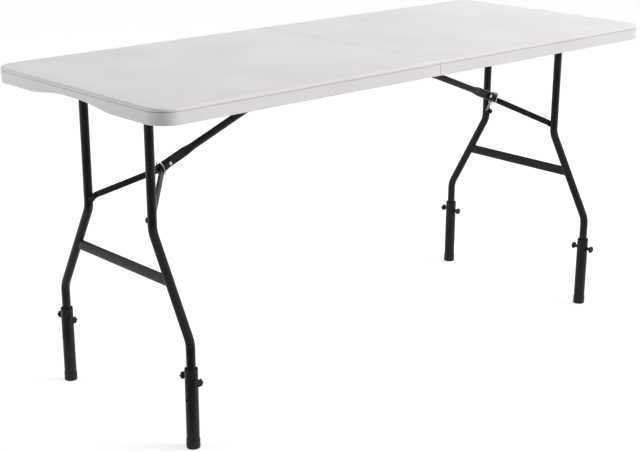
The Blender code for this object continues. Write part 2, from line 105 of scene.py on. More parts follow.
def editFaces(piece, test):
    selectFaces(piece, test)
    bpy.ops.object.mode_set(mode='EDIT')
    bpy.ops.mesh.select_mode(type='FACE')


def editEdges(piece, test):
    # edit mode with only the edges picked by their two ends
    pickOnly(piece)
    mesh = piece.data
    for v in mesh.vertices:
        v.select = False
    for f in mesh.polygons:
        f.select = False
    for e in mesh.edges:
        e.select = test(*(mesh.vertices[i].co for i in e.vertices))
    bpy.context.tool_settings.mesh_select_mode = (False, True, False)
    bpy.ops.object.mode_set(mode='EDIT')


def mendMesh(piece, fill=False, near=0.000002):
    editAll(piece)
    bpy.ops.mesh.remove_doubles(threshold=near)
    if fill:
        bpy.ops.mesh.fill_holes(sides=0)
    bpy.ops.mesh.select_all(action='SELECT')
    bpy.ops.mesh.normals_make_consistent(inside=False)
    objectMode()


def smoothByAngle(piece, degrees=32):
    pickOnly(piece)
    bpy.ops.object.shade_smooth_by_angle(angle=math.radians(degrees))


def cutWith(piece, tool):
    pickOnly(piece)
    modifier = piece.modifiers.new('cut', 'BOOLEAN')
    modifier.operation = 'DIFFERENCE'
    modifier.solver = 'EXACT'
    modifier.object = tool
    applyModifiers(piece)
    bpy.data.objects.remove(tool, do_unlink=True)


def turned(name, profile, segments, centre, along='Z', closed=False):
    # a ring drawn out station by station, like turning on a lathe
    startClean()
    radius, height = profile[0]
    bpy.ops.mesh.primitive_circle_add(vertices=segments, radius=radius, fill_type='NOTHING',
                                      location=(0, 0, height))
    piece = bpy.context.object
    piece.name = name
    applyPlace(piece)
    editAll(piece)
    for (r, z), (nextR, nextZ) in zip(profile, profile[1:]):
        bpy.ops.mesh.extrude_region_move(TRANSFORM_OT_translate={'value': (0, 0, nextZ - z)})
        if abs(nextR - r) > 1e-7:
            bpy.ops.transform.resize(value=(nextR / r, nextR / r, 1), center_override=(0, 0, nextZ))
    objectMode()
    mendMesh(piece, fill=not closed)
    if along == 'Y':
        piece.rotation_euler = (-math.pi / 2, 0, 0)
    piece.location = centre
    applyPlace(piece)
    return piece


def bentTube(name, radius, wall, segments, points, bend, steps):
    # a ring extruded along straights and spun round the bends
    startClean()
    points = [Vector(p) for p in points]
    way = (points[1] - points[0]).normalized()
    bpy.ops.mesh.primitive_circle_add(vertices=segments, radius=radius, fill_type='NOTHING',
                                      location=points[0], rotation=way.to_track_quat('Z', 'Y').to_euler())
    piece = bpy.context.object
    piece.name = name
    applyPlace(piece)
    editAll(piece)
    place = points[0]
    for corner, after in zip(points[1:-1], points[2:]):
        nextWay = (after - corner).normalized()
        turn = way.angle(nextWay)
        axis = way.cross(nextWay).normalized()
        start = corner - way * (bend * math.tan(turn / 2))
        bpy.ops.mesh.extrude_region_move(TRANSFORM_OT_translate={'value': start - place})
        centre = start + axis.cross(way) * bend
        bpy.ops.mesh.spin(steps=steps, angle=-turn, center=centre, axis=axis)
        place = corner + nextWay * (bend * math.tan(turn / 2))
        way = nextWay
    bpy.ops.mesh.extrude_region_move(TRANSFORM_OT_translate={'value': points[-1] - place})
    mendMesh(piece)
    shell = piece.modifiers.new('wall', 'SOLIDIFY')
    shell.thickness = wall
    shell.offset = -1
    applyModifiers(piece)
    return piece


def pressSides(piece, ring, segments, halfAcross, share, broad=0.45):
    # draws the two broad sides of one ring out towards its flats
    first = ring * segments
    x = piece.data.vertices[first].co.x
    for sign in (-1, 1):
        editVerts(piece, lambda v: first <= v.index < first + segments and v.co.y * sign > halfAcross * broad)
        bpy.ops.transform.resize(value=(1, 1 - share, 1), center_override=(x, sign * halfAcross, 0))
        objectMode()


def pressedBar(name, stations, segments):
    # a straight bar along X whose round section is pressed flat where told, then bent ring by ring
    # a station is its place, half width, half height, bend in degrees and how far it is pressed
    startClean()
    x, halfAcross, halfTall = stations[0][:3]
    bpy.ops.mesh.primitive_circle_add(vertices=segments, radius=1, fill_type='NOTHING', location=(x, 0, 0),
                                      rotation=(0, math.pi / 2, 0))
    piece = bpy.context.object
    piece.name = name
    piece.scale = (halfTall, halfAcross, 1)
    applyPlace(piece)
    editAll(piece)
    for before, now in zip(stations, stations[1:]):
        bpy.ops.mesh.extrude_region_move(TRANSFORM_OT_translate={'value': (now[0] - before[0], 0, 0)})
        bpy.ops.transform.resize(value=(1, now[1] / before[1], now[2] / before[2]),
                                 center_override=(now[0], 0, 0))
    objectMode()
    mesh = piece.data
    for k, station in enumerate(stations):
        if station[4]:
            pressSides(piece, k, segments, station[1], station[4])
    for k, station in enumerate(stations):
        if station[3] == 0:
            continue
        ring = [mesh.vertices[i].co.copy() for i in range(k * segments, (k + 1) * segments)]
        centre = sum(ring, Vector()) / segments
        editVerts(piece, lambda v: v.index >= k * segments)
        bpy.ops.transform.rotate(value=-math.radians(station[3]), orient_axis='Z', center_override=centre)
        objectMode()
    mendMesh(piece, fill=True)
    return piece


def wireAlong(piece, radius, rounds=3):
    # edges turned into a round wire
    pickOnly(piece)
    bpy.ops.object.convert(target='CURVE')
    piece = bpy.context.object
    piece.data.bevel_depth = radius
    piece.data.bevel_resolution = rounds
    pickOnly(piece)
    bpy.ops.object.convert(target='MESH')
    piece = bpy.context.object
    mendMesh(piece)
    smoothByAngle(piece, 60)
    return piece


def ownCopy(piece, name):
    startClean()
    copy = piece.copy()
    copy.data = piece.data.copy()
    copy.name = name
    bpy.context.scene.collection.objects.link(copy)
    return copy


def mirrorCopy(piece, name, overX, overY):
    copy = ownCopy(piece, name)
    copy.scale = (-1 if overX else 1, -1 if overY else 1, 1)
    applyPlace(copy)
    if overX != overY:
        editAll(copy)
        bpy.ops.mesh.flip_normals()
        objectMode()
    return copy


def settle(piece, material, body, slot, *replaced):
    piece.data.materials.clear()
    piece.data.materials.append(material)
    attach(piece, body)
    if replaced:
        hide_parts(*replaced)


def toFour(piece, word, material, bodyWord, slot, nodeWord):
    # the piece is modelled at the right rear corner
    for end, signX in ends:
        for side, signY in sides:
            copy = mirrorCopy(piece, f'{end}_{side}_{word}', signX < 0, signY < 0)
            settle(copy, material, bodyWord.format(end=end, side=side), slot, f'{end}_{side}_{nodeWord}')
    bpy.data.objects.remove(piece, do_unlink=True)


def toTwo(piece, word, material, bodyWord, slot, nodeWord):
    for end, signX in ends:
        copy = mirrorCopy(piece, f'{end}_{word}', signX < 0, False)
        settle(copy, material, bodyWord.format(end=end), slot, f'{end}_{nodeWord}')
    bpy.data.objects.remove(piece, do_unlink=True)


# shared shader groups
def newGroup(name, inputs, outputs):
    group = bpy.data.node_groups.new(name, 'ShaderNodeTree')
    for label, kind, value in inputs:
        socket = group.interface.new_socket(label, in_out='INPUT', socket_type=kind)
        if value is not None:
            socket.default_value = value
    for label, kind in outputs:
        group.interface.new_socket(label, in_out='OUTPUT', socket_type=kind)
    start = group.nodes.new('NodeGroupInput')
    finish = group.nodes.new('NodeGroupOutput')
    return group, start, finish


def feed(tree, value, socket):
    # an output is linked, a colour or a number is set
    if isinstance(value, bpy.types.NodeSocket):
        tree.links.new(value, socket)
    elif isinstance(value, tuple):
        socket.default_value = (*value, 1)
    else:
        socket.default_value = value


def mathNode(tree, operation, a, b):
    node = tree.nodes.new('ShaderNodeMath')
    node.operation = operation
    feed(tree, a, node.inputs[0])
    feed(tree, b, node.inputs[1])
    return node.outputs[0]


def noiseNode(tree, vector, scale, detail):
    node = tree.nodes.new('ShaderNodeTexNoise')
    node.inputs['Detail'].default_value = detail
    tree.links.new(vector, node.inputs['Vector'])
    feed(tree, scale, node.inputs['Scale'])
    return node


mouldedGrain = {'pebbleSmooth': 0.6, 'swellDetail': 2.0, 'fineScale': 260.0, 'fineDetail': 3.0}


def mouldedGrainGroup():
    # fine pebble of a moulded skin over slow swells, with a cloudy tone mask
    s = mouldedGrain
    group, start, finish = newGroup('mouldedGrain', [
        ('Vector', 'NodeSocketVector', None), ('Pebble Scale', 'NodeSocketFloat', 700.0),
        ('Swell Scale', 'NodeSocketFloat', 9.0), ('Swell Share', 'NodeSocketFloat', 0.4)],
        [('Height', 'NodeSocketFloat'), ('Tone', 'NodeSocketFloat'), ('Speckle', 'NodeSocketFloat')])
    link = group.links.new
    vector = start.outputs['Vector']
    pebble = group.nodes.new('ShaderNodeTexVoronoi')
    pebble.feature = 'SMOOTH_F1'
    pebble.inputs['Smoothness'].default_value = s['pebbleSmooth']
    link(vector, pebble.inputs['Vector'])
    link(start.outputs['Pebble Scale'], pebble.inputs['Scale'])
    swell = noiseNode(group, vector, start.outputs['Swell Scale'], s['swellDetail'])
    fine = noiseNode(group, vector, s['fineScale'], s['fineDetail'])
    raised = mathNode(group, 'MULTIPLY', swell.outputs['Fac'], start.outputs['Swell Share'])
    link(mathNode(group, 'ADD', pebble.outputs['Distance'], raised), finish.inputs['Height'])
    link(swell.outputs['Fac'], finish.inputs['Tone'])
    link(fine.outputs['Fac'], finish.inputs['Speckle'])
    return group


powderSkin = {'peelDetail': 2.5, 'cloudScale': 14.0, 'cloudDetail': 4.0, 'fleckScale': 130.0,
              'fleckDetail': 5.0, 'fleckRough': 0.7, 'fleckFrom': 0.66, 'fleckTo': 0.74}


def powderSkinGroup():
    # orange peel of a baked powder coat, with a duller cloud and rare rubbed flecks
    s = powderSkin
    group, start, finish = newGroup('powderSkin', [
        ('Vector', 'NodeSocketVector', None), ('Peel Scale', 'NodeSocketFloat', 420.0)],
        [('Height', 'NodeSocketFloat'), ('Cloud', 'NodeSocketFloat'), ('Fleck', 'NodeSocketFloat')])
    link = group.links.new
    vector = start.outputs['Vector']
    peel = noiseNode(group, vector, start.outputs['Peel Scale'], s['peelDetail'])
    cloud = noiseNode(group, vector, s['cloudScale'], s['cloudDetail'])
    fleck = noiseNode(group, vector, s['fleckScale'], s['fleckDetail'])
    fleck.inputs['Roughness'].default_value = s['fleckRough']
    ramp = group.nodes.new('ShaderNodeValToRGB')
    ramp.color_ramp.elements[0].position = s['fleckFrom']
    ramp.color_ramp.elements[1].position = s['fleckTo']
    link(fleck.outputs['Fac'], ramp.inputs['Fac'])
    link(peel.outputs['Fac'], finish.inputs['Height'])
    link(cloud.outputs['Fac'], finish.inputs['Cloud'])
    link(ramp.outputs['Color'], finish.inputs['Fleck'])
    return group


grainGroup = mouldedGrainGroup()
powderGroup = powderSkinGroup()


def newMaterial(name):
    material = bpy.data.materials.new(name)
    material.use_nodes = True
    tree = material.node_tree
    shader = tree.nodes['Principled BSDF']
    coords = tree.nodes.new('ShaderNodeTexCoord')
    return material, tree, shader, coords.outputs['Object']


def placeGroup(tree, group, vector, **values):
    node = tree.nodes.new('ShaderNodeGroup')
    node.node_tree = group
    tree.links.new(vector, node.inputs['Vector'])
    for label, value in values.items():
        node.inputs[label.replace('_', ' ')].default_value = value
    return node


def mixColours(tree, factor, dark, light):
    node = tree.nodes.new('ShaderNodeMix')
    node.data_type = 'RGBA'
    tree.links.new(factor, node.inputs['Factor'])
    # the colour sockets of a Mix node come after those for numbers and vectors
    feed(tree, dark, node.inputs[6])
    feed(tree, light, node.inputs[7])
    return node.outputs[2]


def spread(tree, value, low, high, fromLow=0.3, fromHigh=0.7):
    node = tree.nodes.new('ShaderNodeMapRange')
    node.inputs['From Min'].default_value = fromLow
    node.inputs['From Max'].default_value = fromHigh
    node.inputs['To Min'].default_value = low
    node.inputs['To Max'].default_value = high
    tree.links.new(value, node.inputs['Value'])
    return node.outputs['Result']


def bumpFrom(tree, shader, height, finish):
    node = tree.nodes.new('ShaderNodeBump')
    node.inputs['Strength'].default_value = finish['bump']
    node.inputs['Distance'].default_value = finish['bumpHigh']
    tree.links.new(height, node.inputs['Height'])
    tree.links.new(node.outputs['Normal'], shader.inputs['Normal'])


whiteTop = {'dark': (0.745, 0.721, 0.745), 'light': (0.801, 0.776, 0.801), 'pebble': 620.0, 'swell': 5.0,
            'swellShare': 0.3, 'rough': (0.50, 0.64), 'gloss': 0.3, 'bump': 0.22, 'bumpHigh': 0.0004}


def makeWhiteTop():
    s = whiteTop
    material, tree, shader, vector = newMaterial('whiteMouldedTop')
    grain = placeGroup(tree, grainGroup, vector, Pebble_Scale=s['pebble'], Swell_Scale=s['swell'],
                       Swell_Share=s['swellShare'])
    tone = spread(tree, grain.outputs['Tone'], 0.0, 1.0)
    tree.links.new(mixColours(tree, tone, s['dark'], s['light']), shader.inputs['Base Color'])
    tree.links.new(spread(tree, grain.outputs['Speckle'], *s['rough']), shader.inputs['Roughness'])
    shader.inputs['Specular IOR Level'].default_value = s['gloss']
    bumpFrom(tree, shader, grain.outputs['Height'], s)
    return material


framePaint = {'dark': (0.0150, 0.0129, 0.0150), 'light': (0.0230, 0.0198, 0.0230),
              'rubbed': (0.034, 0.030, 0.034), 'tint': (1.0, 0.9, 1.0), 'peel': 420.0, 'rough': (0.22, 0.31),
              'gloss': 0.15, 'bump': 0.12, 'bumpHigh': 0.0004}


def makeFramePaint():
    s = framePaint
    material, tree, shader, vector = newMaterial('charcoalPowderCoat')
    skin = placeGroup(tree, powderGroup, vector, Peel_Scale=s['peel'])
    base = mixColours(tree, spread(tree, skin.outputs['Cloud'], 0.0, 1.0), s['dark'], s['light'])
    tree.links.new(mixColours(tree, skin.outputs['Fleck'], base, s['rubbed']), shader.inputs['Base Color'])
    tree.links.new(spread(tree, skin.outputs['Cloud'], *s['rough']), shader.inputs['Roughness'])
    shader.inputs['Specular IOR Level'].default_value = s['gloss']
    shader.inputs['Specular Tint'].default_value = (*s['tint'], 1)
    bumpFrom(tree, shader, skin.outputs['Height'], s)
    return material


brightZinc = {'dark': (0.58, 0.58, 0.59), 'light': (0.80, 0.80, 0.81), 'peel': 900.0, 'rough': (0.24, 0.40),
              'bump': 0.08, 'bumpHigh': 0.0003}


def makeBrightZinc():
    s = brightZinc
    material, tree, shader, vector = newMaterial('brightZincPlate')
    skin = placeGroup(tree, powderGroup, vector, Peel_Scale=s['peel'])
    base = mixColours(tree, spread(tree, skin.outputs['Cloud'], 0.0, 1.0), s['dark'], s['light'])
    tree.links.new(base, shader.inputs['Base Color'])
    shader.inputs['Metallic'].default_value = 1.0
    tree.links.new(spread(tree, skin.outputs['Height'], *s['rough']), shader.inputs['Roughness'])
    bumpFrom(tree, shader, skin.outputs['Height'], s)
    return material


blackPlastic = {'dark': (0.0120, 0.0103, 0.0120), 'light': (0.0180, 0.0155, 0.0180), 'pebble': 1400.0,
                'swell': 30.0, 'swellShare': 0.2, 'rough': (0.34, 0.48), 'gloss': 0.2, 'bump': 0.2,
                'bumpHigh': 0.0003}


def makeBlackPlastic():
    s = blackPlastic
    material, tree, shader, vector = newMaterial('blackMouldedPlastic')
    grain = placeGroup(tree, grainGroup, vector, Pebble_Scale=s['pebble'], Swell_Scale=s['swell'],
                       Swell_Share=s['swellShare'])
    base = mixColours(tree, spread(tree, grain.outputs['Tone'], 0.0, 1.0), s['dark'], s['light'])
    tree.links.new(base, shader.inputs['Base Color'])
    tree.links.new(spread(tree, grain.outputs['Speckle'], *s['rough']), shader.inputs['Roughness'])
    shader.inputs['Specular IOR Level'].default_value = s['gloss']
    shader.inputs['Specular Tint'].default_value = (*framePaint['tint'], 1)
    bumpFrom(tree, shader, grain.outputs['Height'], s)
    return material


whitePlastic = makeWhiteTop()
charcoal = makeFramePaint()
zinc = makeBrightZinc()
black = makeBlackPlastic()
print('materials ready')


# top: one full board with lip and skirt, then parted along the fold
board = {'length': 1.83, 'width': 0.74, 'height': 0.90, 'corner': 0.06, 'cornerSteps': 16,
         'lip': 0.0075, 'edgeRound': 0.006, 'edgeSteps': 6,
         'slotDeep': 0.0032, 'slotHigh': 0.0016, 'slotEdge': 0.0004,
         'skirt': 0.040, 'setback': 0.0003, 'draft': 0.0004, 'lines': 6, 'lineDeep': 0.0004,
         'lineHigh': 0.0021,
         'rim': 0.0138, 'rimRound': 0.0015, 'rimRise': 0.010, 'slab': 0.012,
         'seam': 0.0015, 'seamRound': 0.001, 'seamSteps': 3,
         'archRise': 0.0142, 'archFlat': 0.06, 'archFoot': 0.17, 'archRound': 0.035, 'archSteps': 8,
         'archLong': 0.036,
         'markLong': 0.045, 'markWide': 0.004, 'markDeep': 0.0012, 'markInset': 0.0075, 'markY': 0.028,
         'markRound': 0.0018, 'markSteps': 5,
         'dimple': 0.011, 'dimpleFloor': 0.007, 'dimpleDeep': 0.004, 'dimpleMouth': 0.0005, 'dimpleSides': 16,
         'dimpleStep': 0.0635, 'dimpleStart': 0.124, 'dimplesLong': 12, 'dimplesWide': 9}


def skirtRows():
    # inset from the lip and step down: the slot under the lip, a rippled skirt and its rounded foot
    face, edge, foot = board['setback'], board['slotEdge'], board['rimRound']
    rows = [(board['slotDeep'], 0.0), (board['slotDeep'], board['slotHigh']),
            (face + edge, 0.0), (face, edge)]
    drop = board['skirt'] - board['lip'] - board['slotHigh'] - edge - foot
    bands = board['lines'] + 1
    band = (drop - 2 * board['lines'] * board['lineHigh']) / bands
    for i in range(bands):
        face += board['draft'] / bands
        rows.append((face, band))
        if i < board['lines']:
            rows += [(face + board['lineDeep'], board['lineHigh']), (face, board['lineHigh'])]
    return rows + [(face + foot / 3, foot * 0.65), (face + foot, foot * 0.35)]


def makeBoard():
    startClean()
    bpy.ops.mesh.primitive_plane_add(size=1, location=(0, 0, board['height'] - board['lip']))
    piece = bpy.context.object
    piece.name = 'board'
    piece.scale = (board['length'], board['width'], 1)
    applyPlace(piece)
    editAll(piece)
    bpy.ops.mesh.bevel(offset=board['corner'], segments=board['cornerSteps'], affect='VERTICES',
                       offset_type='OFFSET', profile=0.5)
    bpy.ops.mesh.select_all(action='SELECT')
    # upper side: lip wall, then a quarter round in small insets
    wall = board['lip'] - board['edgeRound']
    bpy.ops.mesh.extrude_region_move(TRANSFORM_OT_translate={'value': (0, 0, wall)})
    for i in range(board['edgeSteps']):
        a, b = (math.pi / 2 * k / board['edgeSteps'] for k in (i, i + 1))
        bpy.ops.mesh.inset(thickness=board['edgeRound'] * (math.cos(a) - math.cos(b)),
                           depth=board['edgeRound'] * (math.sin(b) - math.sin(a)))
    objectMode()
    # lower side: close the open rim, then draw the slot and the skirt down from it
    editAll(piece)
    bpy.ops.mesh.fill_holes(sides=0)
    bpy.ops.mesh.select_all(action='SELECT')
    bpy.ops.mesh.normals_make_consistent(inside=False)
    editFaces(piece, lambda f: f.normal.z < -0.9)
    reach = 0.0
    for inset, drop in skirtRows():
        # each row is drawn down, then in or out from the outline of the lip
        bpy.ops.mesh.extrude_region_move(TRANSFORM_OT_translate={'value': (0, 0, -drop)})
        wide, deep = ((board[side] / 2 - inset) / (board[side] / 2 - reach) for side in ('length', 'width'))
        bpy.ops.transform.resize(value=(wide, deep, 1), center_override=(0, 0, 0))
        reach = inset
    objectMode()
    return piece


def halfBoard(whole, end, sign):
    piece = ownCopy(whole, end + '_top')
    editAll(piece)
    bpy.ops.mesh.bisect(plane_co=(sign * board['seam'] / 2, 0, 0), plane_no=(sign, 0, 0), use_fill=True,
                        clear_inner=True, clear_outer=False)
    mendMesh(piece)
    # underside: rim, then the tray drawn up with a little draft
    lowest = min(v.co.z for v in piece.data.vertices)
    editFaces(piece, lambda f: f.normal.z < -0.99 and abs(f.center.z - lowest) < 0.0005)
    bpy.ops.mesh.inset(thickness=board['rim'] - board['rimRound'], depth=0.0)
    bpy.ops.mesh.inset(thickness=board['rimRound'], depth=-board['rimRound'])
    bpy.ops.mesh.inset(thickness=board['draft'], depth=-(board['skirt'] - board['slab'] - board['rimRound']))
    objectMode()
    # ease the two edges that meet at the fold
    seamX = sign * board['seam'] / 2
    editVerts(piece, lambda v: abs(v.co.x - seamX) < 1e-5 and v.co.z > board['height'] - 1e-4)
    bpy.ops.mesh.select_mode(type='EDGE')
    bpy.ops.mesh.bevel(offset=board['seamRound'], segments=board['seamSteps'], affect='EDGES')
    objectMode()
    return piece


def archTool(sign):
    startClean()
    low = board['height'] - board['skirt']
    middle = (sign * board['length'] / 2, 0, low)
    bpy.ops.mesh.primitive_cube_add(size=1, location=middle)
    tool = bpy.context.object
    tool.scale = (board['archLong'], 2 * board['archFoot'], 2 * board['archRise'])
    applyPlace(tool)
    editVerts(tool, lambda v: v.co.z > low)
    bpy.ops.transform.resize(value=(1, board['archFlat'] / board['archFoot'], 1), center_override=middle)
    # the ramps go on at the same slope below the skirt
    editVerts(tool, lambda v: v.co.z < low)
    flare = (2 * board['archFoot'] - board['archFlat']) / board['archFoot']
    bpy.ops.transform.resize(value=(1, flare, 1), center_override=middle)
    editEdges(tool, lambda a, b: a.z > low and b.z > low and abs(a.y - b.y) < 1e-5)
    bpy.ops.mesh.bevel(offset=board['archRound'], segments=board['archSteps'], affect='EDGES')
    objectMode()
    return tool


def centreTool():
    # lowers the rims along the fold
    startClean()
    low = board['height'] - board['skirt']
    room = board['width'] / 2 - board['setback'] - board['rim'] - 3 * board['draft']
    bpy.ops.mesh.primitive_cube_add(size=1, location=(0, 0, low))
    tool = bpy.context.object
    tool.scale = (2 * (board['rim'] + 3 * board['draft']), 2 * room, 2 * board['rimRise'])
    applyPlace(tool)
    return tool


def dimpleTool(sign):
    startClean()
    under = board['height'] - board['slab']
    step = board['dimpleStep']
    place = (sign * board['dimpleStart'], -step * (board['dimplesWide'] - 1) / 2,
             under + board['dimpleDeep'] / 2)
    bpy.ops.mesh.primitive_cone_add(vertices=board['dimpleSides'], radius1=board['dimple'],
                                    radius2=board['dimpleFloor'], depth=board['dimpleDeep'], location=place)
    tool = bpy.context.object
    applyPlace(tool)
    # the mouth of each cutter reaches a little below the underside
    editVerts(tool, lambda v: v.co.z < under + 1e-5)
    bpy.ops.transform.translate(value=(0, 0, -board['dimpleMouth']))
    objectMode()
    for count, shift in ((board['dimplesLong'], (sign * step, 0, 0)), (board['dimplesWide'], (0, step, 0))):
        rows = tool.modifiers.new('rows', 'ARRAY')
        rows.count = count
        rows.use_relative_offset = False
        rows.use_constant_offset = True
        rows.constant_offset_displace = shift
        applyModifiers(tool)
    return tool


def markTool():
    # round-ended cutter for the plain shallow mark near the far short edge
    startClean()
    place = (board['length'] / 2 - board['markInset'], board['markY'], board['height'])
    bpy.ops.mesh.primitive_cube_add(size=1, location=place)
    tool = bpy.context.object
    tool.scale = (board['markWide'], board['markLong'], 2 * board['markDeep'])
    applyPlace(tool)
    editEdges(tool, lambda a, b: abs(a.z - b.z) > 1e-5)
    bpy.ops.mesh.bevel(offset=board['markRound'], segments=board['markSteps'], affect='EDGES')
    objectMode()
    return tool


wholeBoard = makeBoard()
for end, sign in ends:
    half = halfBoard(wholeBoard, end, sign)
    cutWith(half, archTool(sign))
    cutWith(half, centreTool())
    cutWith(half, dimpleTool(sign))
    if end == 'right':
        cutWith(half, markTool())
    mendMesh(half)
    smoothByAngle(half, 30)
    settle(half, whitePlastic, end + '_top', 'top_plastic', end + '_top_panel')
bpy.data.objects.remove(wholeBoard, do_unlink=True)
print('top halves done')


# leg tubes, each bent twice
legShape = {'x': 0.786, 'topY': 0.1432, 'footY': 0.2862, 'topZ': 0.866, 'upperBend': 0.5395,
            'lowerBend': 0.28468, 'endZ': 0.14308, 'radius': 0.012, 'wall': 0.0015, 'bend': 0.06, 'sides': 32,
            'bendSteps': 10}


def makeLeg():
    s = legShape
    points = [(s['x'], s['topY'], s['topZ']), (s['x'], s['topY'], s['upperBend']),
              (s['x'], s['footY'], s['lowerBend']), (s['x'], s['footY'], s['endZ'])]
    piece = bentTube('leg', s['radius'], s['wall'], s['sides'], points, s['bend'], s['bendSteps'])
    smoothByAngle(piece)
    return piece


toFour(makeLeg(), 'leg', charcoal, '{end}_leg_frame', 'frame_paint', 'leg_tube')

# crossbar: a flat oval tube between the legs
barShape = {'x': legShape['x'], 'z': 0.4239, 'reach': 0.20807, 'high': 0.029, 'deep': 0.013,
            'sides': 28, 'splay': math.radians(29.3), 'ease': 0.0002, 'copeLong': 0.12, 'copeSides': 40,
            'bead': 0.0013}


def makeCrossbar():
    s = barShape
    startClean()
    radius = s['deep'] / 2
    bpy.ops.mesh.primitive_circle_add(vertices=s['sides'], radius=radius, fill_type='NOTHING',
                                      location=(s['x'], -s['reach'], s['z']), rotation=(math.pi / 2, 0, 0))
    piece = bpy.context.object
    piece.name = 'crossbar'
    applyPlace(piece)
    lift = s['high'] / 2 - radius
    for sign in (-1, 1):
        editVerts(piece, lambda v: (v.co.z - s['z']) * sign > 1e-5)
        bpy.ops.transform.translate(value=(0, 0, sign * lift))
        objectMode()
    editAll(piece)
    bpy.ops.mesh.extrude_region_move(TRANSFORM_OT_translate={'value': (0, 2 * s['reach'], 0)})
    objectMode()
    mendMesh(piece, fill=True)
    for sign in (-1, 1):
        cutWith(piece, copeTool(sign))
    smoothByAngle(piece)
    return piece


def copeTool(sign):
    s = barShape
    startClean()
    bpy.ops.mesh.primitive_cylinder_add(vertices=s['copeSides'], radius=legShape['radius'] + s['ease'],
                                        depth=s['copeLong'], location=(s['x'], sign * s['reach'], s['z']),
                                        rotation=(sign * s['splay'], 0, 0))
    tool = bpy.context.object
    applyPlace(tool)
    return tool


def makeWelds(bar):
    # the rims of the coped ends, drawn off as two loops of wire
    copy = ownCopy(bar, 'barEnds')
    pickOnly(copy)
    selectFaces(copy, lambda f: abs(f.normal.y) > 0.3)
    bpy.context.tool_settings.mesh_select_mode = (False, False, True)
    bpy.ops.object.mode_set(mode='EDIT')
    bpy.ops.mesh.region_to_loop()
    bpy.ops.mesh.duplicate()
    bpy.ops.mesh.separate(type='SELECTED')
    objectMode()
    loops = next(o for o in bpy.context.selected_objects if o is not copy)
    bpy.data.objects.remove(copy, do_unlink=True)
    return wireAlong(loops, barShape['bead'])


crossbar = makeCrossbar()
welds = makeWelds(crossbar)
for end, signX in ends:
    copy = mirrorCopy(welds, end + '_bar_welds', signX < 0, False)
    settle(copy, charcoal, end + '_leg_frame', 'frame_paint')
bpy.data.objects.remove(welds, do_unlink=True)
toTwo(crossbar, 'cross_bar', charcoal, '{end}_leg_frame', 'frame_paint', 'crossbar')

# folding brace: upper brace pressed flat at the elbow, and the two stay arms that go on to the legs
brace = {'root': (0.08, 0, 0.874), 'elbow': (0.628, 0, 0.6605), 'radius': 0.010, 'tail': 0.008,
         'flatHalf': 0.0045, 'flatTall': 0.0140, 'flatBack': 0.050, 'taper': 0.036, 'taperSteps': 8,
         'nose': 0.040, 'noseRows': ((0.003, 1, 1), (0.001, 0.94, 0.96), (0, 0.8, 0.86)), 'press': 0.92,
         'sides': 32}
stayEnd = Vector((legShape['x'], 0, 0.5655))
root = Vector(brace['root'])
elbow = Vector(brace['elbow'])
braceWay = (elbow - root).normalized()
braceDip = math.atan2(-braceWay.z, braceWay.x)


def smoothStep(t):
    return t * t * (3 - 2 * t)


def makeUpperBrace():
    s = brace
    long = (elbow - root).length
    flatStart = long - s['flatBack']
    stations = [(-s['tail'], s['radius'], s['radius'], 0, 0),
                (flatStart - s['taper'], s['radius'], s['radius'], 0, 0)]
    for i in range(1, s['taperSteps'] + 1):
        t = i / s['taperSteps']
        ease = smoothStep(t)
        stations.append((flatStart - s['taper'] * (1 - t), s['radius'] + (s['flatHalf'] - s['radius']) * ease,
                         s['radius'] + (s['flatTall'] - s['radius']) * ease, 0, s['press'] * ease))
    # the nose is eased at its end: each row says how far back, and its share of the thickness and height
    for back, thin, low in s['noseRows']:
        stations.append((long + s['nose'] - back, s['flatHalf'] * thin, s['flatTall'] * low, 0, s['press']))
    piece = pressedBar('upperBrace', stations, s['sides'])
    piece.rotation_euler = (0, braceDip, 0)
    piece.location = root
    applyPlace(piece)
    smoothByAngle(piece)
    return piece


toTwo(makeUpperBrace(), 'brace', charcoal, '{end}_brace', 'frame_paint', 'upper_brace')

stay = {'nearY': 0.0073, 'farY': 0.1282, 'neck': 0.031, 'eye': 0.016, 'thick': 0.0025, 'tall': 0.0093,
        'middle': 0.0035, 'bend': 0.012, 'bendSteps': 6, 'swell': 0.0115, 'swellSteps': 5, 'press': 0.92,
        'noseFrom': math.radians(18), 'noseSteps': 4, 'sides': 20}


